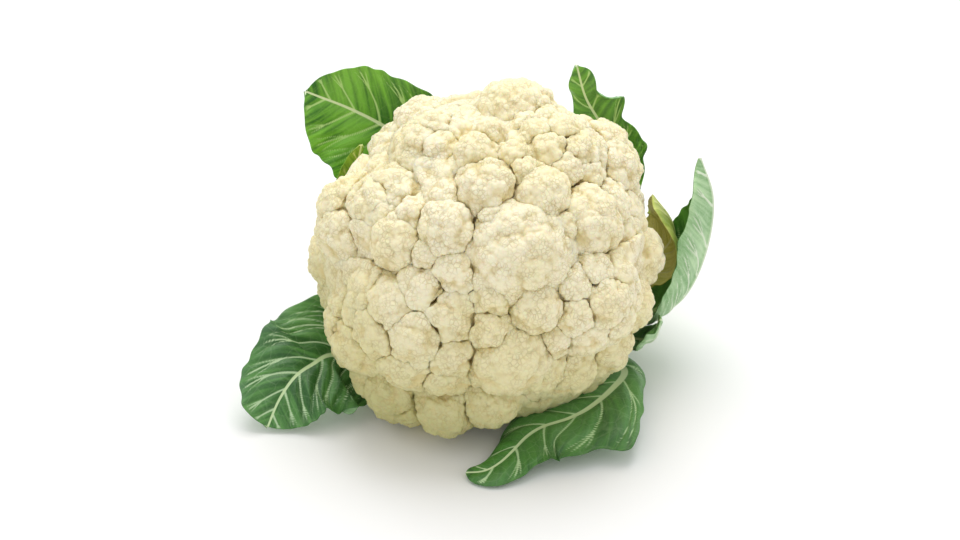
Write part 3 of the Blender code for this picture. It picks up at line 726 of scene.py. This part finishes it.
def leafVeins(leaf, along, across, half, length, seed):
    # how strongly each point lies on a vein, with the leaf rolled out flat, in mm
    rng = np.random.default_rng(seed)
    u = along / length
    side = np.sign(across) + (across == 0)
    out = np.abs(across)
    rib = leaf["rib"]
    ribWidth = 0.35 + 2.3 * rib * (1 - u) ** 1.3
    strength = np.exp(-(out / ribWidth) ** 4)
    ridge = np.exp(-(out / (ribWidth * 1.3)) ** 2) * (0.25 + 0.75 * (1 - u))
    near = np.full(len(u), 99.0)
    cot = 1 / math.tan(math.radians(leafBuild["veinAngle"]))
    for sign in (-1, 1):
        starts = np.linspace(*leafBuild["veinSpan"], leaf["pairs"])
        starts = starts + rng.uniform(-0.018, 0.018, leaf["pairs"])
        for k, start in enumerate(starts):
            lean = cot * rng.uniform(0.8, 1.25) * (1 + 0.5 * start)
            bend = leafBuild["veinBend"] * rng.uniform(0.5, 1.5)
            wiggle = rng.uniform(0, 6.28)
            fork = rng.uniform(0.35, 0.55) * np.maximum(half, 1)
            for spread, since in ((0, 0), (0.55, 1), (-0.45, 1)):
                origin = start * length + lean * out + bend * out**2 + 0.5 * np.sin(out / 3.1 + wiggle)
                turned = origin + since * spread * np.maximum(out - fork, 0)
                away = np.abs(along - turned) * math.sin(math.radians(leafBuild["veinAngle"]))
                width = leafBuild["veinWidth"] * rib * (1.15 - 0.75 * out / np.maximum(half, 1))
                width = width * (0.75 if since else 1.0)
                live = (side == sign) & (out > (fork if since else 0))
                fade = 1 - smoothstep(out / np.maximum(half, 1), 0.8, 1.0)
                drawn = np.maximum(width, leafBuild["thinnestVein"])
                mark = np.exp(-(away / drawn) ** 2) * fade * np.minimum(width / 0.3, 1)
                mark = mark * (0.8 if since else 1.0)
                strength = np.where(live, np.maximum(strength, mark), strength)
                near = np.where(live, np.minimum(near, away), near)
    near = np.minimum(near, np.maximum(out - ribWidth, 0))
    return strength, ridge, near


def leafMesh(name, leaf, surfaces, seed):
    path = (*leafFoot(leaf), *leaf["path"])
    steps = leafBuild["lineSteps"]
    line, length = smoothLine(path, steps)
    at = np.linspace(0, 1, steps)
    tangent = unit(np.gradient(line, axis=0))
    looks = np.array(leaf["face"], float)
    face = np.stack([np.interp(at, (0, leafBuild["faceMiddle"], 1), looks[:, k]) for k in range(3)], axis=1)
    face = blurred(unit(face), 0.12)
    face = unit(face - (face * tangent).sum(1, keepdims=True) * tangent)
    side = unit(np.cross(tangent, face))
    halves = []
    for key in ("left", "right"):
        places, widths = np.array(leaf[key], float).T
        wide = blurred(np.interp(at, places, widths), 0.022)
        halves.append(np.maximum(wide, 0.2))
    rows = int(length / leafBuild["cell"])
    columns = int(sum(h.max() for h in halves) / leafBuild["cell"])
    bpy.ops.mesh.primitive_grid_add(x_subdivisions=columns, y_subdivisions=rows, size=2)
    holder = bpy.context.object
    mesh = holder.data
    flat = getPoints(mesh)
    v, t = flat[:, 0], (flat[:, 1] + 1) / 2
    u = 1 - (1 - t) ** 1.25                     # closer rows near the tip

    def sample(values):
        return np.stack([np.interp(u, at, values[:, k]) for k in range(3)], axis=1)

    half = np.where(v > 0, np.interp(u, at, halves[1]), np.interp(u, at, halves[0]))
    tipStarts = leafBuild["tipStarts"]
    tip = np.sqrt(np.clip(1 - ((u - tipStarts) / (1 - tipStarts)).clip(0, 1) ** 2, 0, 1))
    half = half * tip + 0.02
    rng = np.random.default_rng(seed)
    blade = smoothstep(u, *leafBuild["bladeStarts"])
    far = np.abs(v)
    which = np.sign(v)
    scallop = 0
    for depth, count, apart in leafBuild["scallops"]:
        scallop = scallop + depth * np.sin(2 * np.pi * count * u + rng.uniform(0, 6) + apart * which)
    half = half * (1 + blade * scallop)
    along, across = u * length, v * half
    height, waves, phase = leaf["ruffle"]
    bend = np.radians(np.where(v > 0, leaf["curl"][1], leaf["curl"][0])) + 1e-3
    start = math.radians(leaf["fold"])
    out = half * (np.sin(start + bend * far) - math.sin(start)) / bend * which
    up = half * (math.cos(start) - np.cos(start + bend * far)) / bend
    wave = np.sin(2 * np.pi * (waves * u + phase) + leafBuild["wavesApart"] * which)
    wave += 0.4 * np.sin(2 * np.pi * (2.3 * waves * u + 3 * phase) + 2.1 * which)
    up = up + height * blade * tip * far**2.2 * wave
    sweep = leafBuild["sweep"] * half * far**2 * blade
    points = sample(line) + out[:, None] * sample(side) + up[:, None] * sample(face)
    points += sweep[:, None] * sample(tangent) * tip[:, None]
    strength, ridge, near = leafVeins(leaf, along, across, half, length, seed)
    middle = np.exp(-(across / (0.5 + 2.0 * leaf["rib"] * (1 - u) ** 1.2)) ** 4)
    raised = leaf["pucker"] * (1 - np.exp(-(near / 2.6) ** 1.5)) * blade * tip
    raised = raised * (1 - smoothstep(far, 0.75, 1.0) * 0.8)
    normal = unit(sample(face) - sample(side) * np.sin(start + bend * far)[:, None] * which[:, None])
    points += raised[:, None] * normal
    points = offCurd(points, leafBuild["curdGap"])
    petiole = leafBuild["petiole"] * (1 - smoothstep(u, 0.0, 0.6)) * np.exp(-(across / 7.0) ** 4)
    thick = leafBuild["blade"] + np.maximum(petiole, leafBuild["ribRise"] * ridge * leaf["rib"])
    thick = thick + leafBuild["veinRise"] * strength * (1 - smoothstep(u, 0.9, 1.0))
    thick = thick * (0.35 + 0.65 * (1 - smoothstep(far, 0.9, 1.0) * blade))
    points[:, 2] = np.maximum(points[:, 2], thick + leafBuild["floorGap"])
    setPoints(mesh, points * mm)
    setAttribute(mesh, "vein", strength)
    setAttribute(mesh, "rib", middle)
    setAttribute(mesh, "flat", np.stack([along, across, 0 * u], axis=1) * mm, "FLOAT_VECTOR")
    most = thick.max()
    group = holder.vertex_groups.new(name="thickness")
    for index, share in enumerate(thick / most):
        group.add([index], float(share), "REPLACE")
    solidify = holder.modifiers.new("Solidify", "SOLIDIFY")
    solidify.thickness = most * mm
    solidify.offset = -1
    solidify.vertex_group = "thickness"
    solidify.material_offset = 1
    mesh.materials.append(surfaces[0])
    mesh.materials.append(surfaces[1])
    solid = bpy.data.meshes.new_from_object(holder.evaluated_get(bpy.context.evaluated_depsgraph_get()))
    bpy.data.objects.remove(holder)
    solid.shade_smooth()
    return solid


# Leaf tones. bloom is the leaves' real waxy bloom, and where bloomAndSheenShare is higher, as on the front
# leaves, part of it is painted sheen.
leafColoursAndSheen = {
    "bright": {"dark": rgb(34, 102, 14), "light": rgb(122, 190, 58), "bloomAndSheen": rgb(150, 196, 108),
               "bloomAndSheenShare": 0.35, "vein": rgb(186, 222, 140), "rib": rgb(220, 236, 188)},
    "mid": {"dark": rgb(22, 72, 16), "light": rgb(66, 126, 40), "bloomAndSheen": rgb(118, 168, 104),
            "bloomAndSheenShare": 0.5, "vein": rgb(190, 220, 166), "rib": rgb(206, 226, 176)},
    "dark": {"dark": rgb(38, 90, 32), "light": rgb(88, 144, 68), "bloomAndSheen": rgb(138, 178, 142),
             "bloomAndSheenShare": 0.7, "vein": rgb(186, 214, 168), "rib": rgb(200, 222, 170)},
    "pale": {"dark": rgb(44, 98, 32), "light": rgb(84, 146, 54), "bloomAndSheen": rgb(124, 172, 112),
             "bloomAndSheenShare": 0.5, "vein": rgb(170, 206, 150), "rib": rgb(200, 222, 170)},
    "young": {"dark": rgb(98, 140, 24), "light": rgb(150, 190, 50), "bloomAndSheen": rgb(186, 206, 96),
              "bloomAndSheenShare": 0.3, "vein": rgb(214, 226, 130), "rib": rgb(226, 234, 160)},
    "olive": {"dark": rgb(176, 174, 80), "light": rgb(212, 206, 124), "bloomAndSheen": rgb(220, 208, 144),
              "bloomAndSheenShare": 0.6, "vein": rgb(192, 188, 128), "rib": rgb(208, 206, 150)},
}
undersides = {
    "leaf_green": {"dark": rgb(118, 166, 108), "light": rgb(150, 188, 138), "vein": rgb(206, 222, 186)},
    "leaf_pale": {"dark": rgb(126, 172, 112), "light": rgb(182, 214, 164), "vein": rgb(228, 238, 212)},
    "leaf_young": {"dark": rgb(158, 178, 70), "light": rgb(200, 208, 110), "vein": rgb(224, 226, 160)},
}


def leafLines(graph):
    # the fine net of veins, and the same for its bump
    place = attribute(graph, "flat", "Vector")
    edges = {"feature": "DISTANCE_TO_EDGE"}
    net = graph.node("ShaderNodeTexVoronoi", edges, {"Vector": place, "Scale": 190.0})
    fine = graph.node("ShaderNodeTexVoronoi", edges, {"Vector": place, "Scale": 560.0})
    return (1.0 - net.steps(0.0, 0.07)) * 0.6 + (1.0 - fine.steps(0.0, 0.14)) * 0.25


def leafStreaks(graph):
    # streaks between the side veins, running the way those do
    parts = graph.node("ShaderNodeSeparateXYZ", None, {"Vector": attribute(graph, "flat", "Vector")})
    aside = parts.out("Y").math("ABSOLUTE", parts.out("Y"))
    along = parts.out("X") - aside / math.tan(math.radians(leafBuild["veinAngle"]))
    place = graph.node("ShaderNodeCombineXYZ", None, {"X": along, "Y": parts.out("Y") * 0.12})
    return noise(graph, 330.0, 3.0, place)


def finishLeaf(graph, shader, colour, lines, gloss):
    connect(shader, "Base Color", colour)
    connect(shader, "Roughness", noise(graph, 90.0, 3.0) * 0.25 + gloss)
    relief = lines * -0.6 + noise(graph, 700.0) * 0.2
    bump = {"Height": relief, "Strength": 0.4, "Distance": 0.0004}
    connect(shader, "Normal", graph.node("ShaderNodeBump", None, bump, out="Normal"))


def leafMaterial(tone):
    finish = leafColoursAndSheen[tone]
    made, shader, graph = material("Leaf " + tone, 0.45, 0.45)
    vein, rib = attribute(graph, "vein"), attribute(graph, "rib")
    lines = leafLines(graph)
    streaks = leafStreaks(graph)
    tone = noise(graph, 34.0, 3.0) * 0.45 + streaks * 0.55
    colour = tone.steps(0.36, 0.62).blend(finish["dark"], finish["light"])
    # patches of waxy bloom, real on the leaves, and laid on more thickly where they stand in as painted
    # sheen
    bloomAndSheen = noise(graph, 15.0, 5.0).steps(0.42, 0.66) * finish["bloomAndSheenShare"]
    colour = bloomAndSheen.blend(colour, finish["bloomAndSheen"])
    colour = (lines * 0.12).clamped().blend(colour, finish["vein"])
    colour = (vein.steps(0.12, 0.75) * 0.92).blend(colour, finish["vein"])
    colour = rib.steps(0.25, 0.75).blend(colour, finish["rib"])
    finishLeaf(graph, shader, colour, lines, 0.34)
    return made


def undersideMaterial(slotName):
    finish = undersides[slotName]
    made, shader, graph = material("Underside " + slotName.split("_")[1], 0.5, 0.4)
    vein = attribute(graph, "vein")
    lines = leafLines(graph)
    tone = noise(graph, 30.0, 4.0) * 0.5 + leafStreaks(graph) * 0.5
    colour = tone.steps(0.36, 0.62).blend(finish["dark"], finish["light"])
    colour = (lines * 0.2).clamped().blend(colour, finish["vein"])
    colour = (vein.steps(0.15, 0.8) * 0.9).blend(colour, finish["vein"])
    finishLeaf(graph, shader, colour, lines, 0.4)
    return made


def makeLeaves():
    tops = {tone: leafMaterial(tone) for tone in leafColoursAndSheen}
    backs = {slotName: undersideMaterial(slotName) for slotName in undersides}
    total = 0
    for index, (name, leaf) in enumerate(leaves.items()):
        pair = tops[leaf["tone"]], backs[leaf["slot"]]
        grown = leafMesh(name, leaf, pair, 40 + index)
        newPiece(name + "_blade", grown, pair, name)
        total += len(grown.polygons) * 2
    print("leaves:", len(leaves), "leaves,", total, "triangles")


makeLeaves()


stalkFinish = {
    "skin": rgb(196, 210, 150), "skinPale": rgb(226, 228, 190), "scar": rgb(186, 172, 124),
    "pith": rgb(232, 232, 204), "ring": rgb(206, 202, 150), "cut": rgb(222, 216, 176),
}


def stalkMaterial():
    made, shader, graph = material("Stalk", 0.5, 0.4)
    place = graph.node("ShaderNodeTexCoord", out="Object")
    cutFace, across, scar = (attribute(graph, name) for name in ("cut", "across", "scar"))
    stretch = graph.node("ShaderNodeMapping", None, {"Vector": place, "Scale": (1.0, 1.0, 0.12)})
    fibres = noise(graph, 620.0, 4.0, stretch)
    skin = fibres.steps(0.35, 0.68).blend(stalkFinish["skin"], stalkFinish["skinPale"])
    skin = scar.steps(0.2, 0.8).blend(skin, stalkFinish["scar"])
    wobble = across + noise(graph, 60.0, 3.0) * 0.08
    ring = wobble.steps(0.68, 0.74) * (1.0 - wobble.steps(0.86, 0.93))
    face = ring.blend(stalkFinish["pith"], stalkFinish["ring"])
    face = (noise(graph, 1500.0, 2.0).steps(0.5, 0.7) * 0.4).blend(face, stalkFinish["cut"])
    connect(shader, "Base Color", cutFace.blend(skin, face))
    connect(shader, "Roughness", fibres * 0.25 + 0.38)
    bump = {"Height": fibres, "Strength": 0.5, "Distance": 0.0006}
    connect(shader, "Normal", graph.node("ShaderNodeBump", None, bump, out="Normal"))
    return made


def makeStalk():
    # rings of points: over the cut from its middle, round its rim, up the side, over the top
    sides, rings = stalk["sides"], stalk["rings"]
    rim = stalk["rim"] / stalk["radius"]
    cutRings = np.linspace(0.02, 1 - rim, 24)
    turn = np.linspace(0, math.pi / 2, 7)[1:]
    profile = [(r, 0.0, 1.0) for r in cutRings]
    rise = stalk["rim"] / stalkTop[2]
    profile += [(1 - rim + rim * math.sin(a), rise * (1 - math.cos(a)), 0.0) for a in turn]
    start = profile[-1][1]
    profile += [(1.0, start + (1 - start) * k / rings, 0.0) for k in range(1, rings + 1)]
    profile += [(r, 1.0, 0.0) for r in (0.9, 0.6, 0.3, 0.02)]
    around = np.linspace(0, 2 * math.pi, sides, endpoint=False)
    outward = np.stack([np.cos(around), np.sin(around), 0 * around], axis=1)
    rows, cutRow, acrossRow, scarRow = [], [], [], []
    for radius, share, onCut in profile:
        swell = np.ones(sides)
        scar = np.zeros(sides)
        if not onCut:
            height = share * stalkTop[2]
            ribs = np.sin(stalk["ribs"] * around + 2 * share) * smoothstep(share, 0, 0.3)
            swell = 1 + stalk["ribHeight"] / stalk["radius"] * ribs
            for bearing, middle, wide in stalk["scars"]:
                aside = (np.degrees(around) - bearing + 180) % 360 - 180
                aside = np.radians(aside) * stalk["radius"] / wide
                lift = (height - middle - 1.5 * aside**2) / 1.6
                scar += np.exp(-lift**2) * (1 - smoothstep(np.abs(aside), 0.8, 1.1))
            swell = swell + 0.9 * scar / stalk["radius"]
        ring = stalkPoint(np.full(sides, share), outward * (radius * swell)[:, None])
        if onCut:
            ring[:, 2] = 0.5 * smoothstep(1 - radius, 0.1, 0.8) * (0.6 + 0.4 * np.cos(3 * around))
        rows.append(ring)
        cutRow.append(np.full(sides, onCut))
        acrossRow.append(np.full(sides, radius))
        scarRow.append(scar)
    points = np.vstack(rows)
    faces = [tuple(range(sides))[::-1]]
    for row in range(len(profile) - 1):
        for k in range(sides):
            n = (k + 1) % sides
            faces.append((row * sides + k, row * sides + n, (row + 1) * sides + n, (row + 1) * sides + k))
    faces.append(tuple((len(profile) - 1) * sides + k for k in range(sides)))
    mesh = bpy.data.meshes.new("stalk")
    mesh.from_pydata((points * mm).tolist(), [], faces)
    bm = bmesh.new()
    bm.from_mesh(mesh)
    bmesh.ops.recalc_face_normals(bm, faces=bm.faces[:])
    bm.to_mesh(mesh)
    bm.free()
    setAttribute(mesh, "cut", np.concatenate(cutRow))
    setAttribute(mesh, "across", np.concatenate(acrossRow))
    setAttribute(mesh, "scar", np.concatenate(scarRow))
    mesh.shade_smooth()
    newPiece("stalk_cut", mesh, [stalkMaterial()], "stalk")
    print("stalk: made")


makeStalk()


camera = {"distance": 1.06533, "elevation": 30, "lens": 85, "sensor": 36, "aim": (-4.7, -18.48, 58.74)}
lights = {"world": 0.8, "keyPower": 8.0, "keySize": 0.9, "keyPlace": (0.0, 0.35, 1.12)}


def makeCamera():
    data = bpy.data.cameras.new("camera")
    data.lens, data.sensor_width = camera["lens"], camera["sensor"]
    holder = bpy.data.objects.new("camera", data)
    bpy.context.scene.collection.objects.link(holder)
    aim = Vector(camera["aim"]) * mm
    tilt = math.radians(camera["elevation"])
    holder.location = aim + camera["distance"] * Vector((0, -math.cos(tilt), math.sin(tilt)))
    holder.rotation_euler = (aim - holder.location).to_track_quat("-Z", "Y").to_euler()
    bpy.context.scene.camera = holder


def makeStage():
    bpy.ops.mesh.primitive_plane_add(size=8)
    floor = bpy.context.object
    floor.name = "floor"
    made, shader, _ = material("Floor", 0.8, 0.2)
    shader.inputs["Base Color"].default_value = (0.92, 0.92, 0.92, 1)
    floor.data.materials.append(made)
    key = bpy.data.lights.new("key", "AREA")
    key.energy, key.size = lights["keyPower"], lights["keySize"]
    holder = bpy.data.objects.new("key", key)
    bpy.context.scene.collection.objects.link(holder)
    holder.location = lights["keyPlace"]
    holder.rotation_euler = (Vector((0, 0, 0.05)) - holder.location).to_track_quat("-Z", "Y").to_euler()
    world = bpy.data.worlds.new("studio")
    bpy.context.scene.world = world
    world.use_nodes = True
    world.node_tree.nodes["Background"].inputs["Color"].default_value = (1, 1, 1, 1)
    world.node_tree.nodes["Background"].inputs["Strength"].default_value = lights["world"]
    bpy.context.scene.view_settings.view_transform = "Standard"


makeCamera()
makeStage()
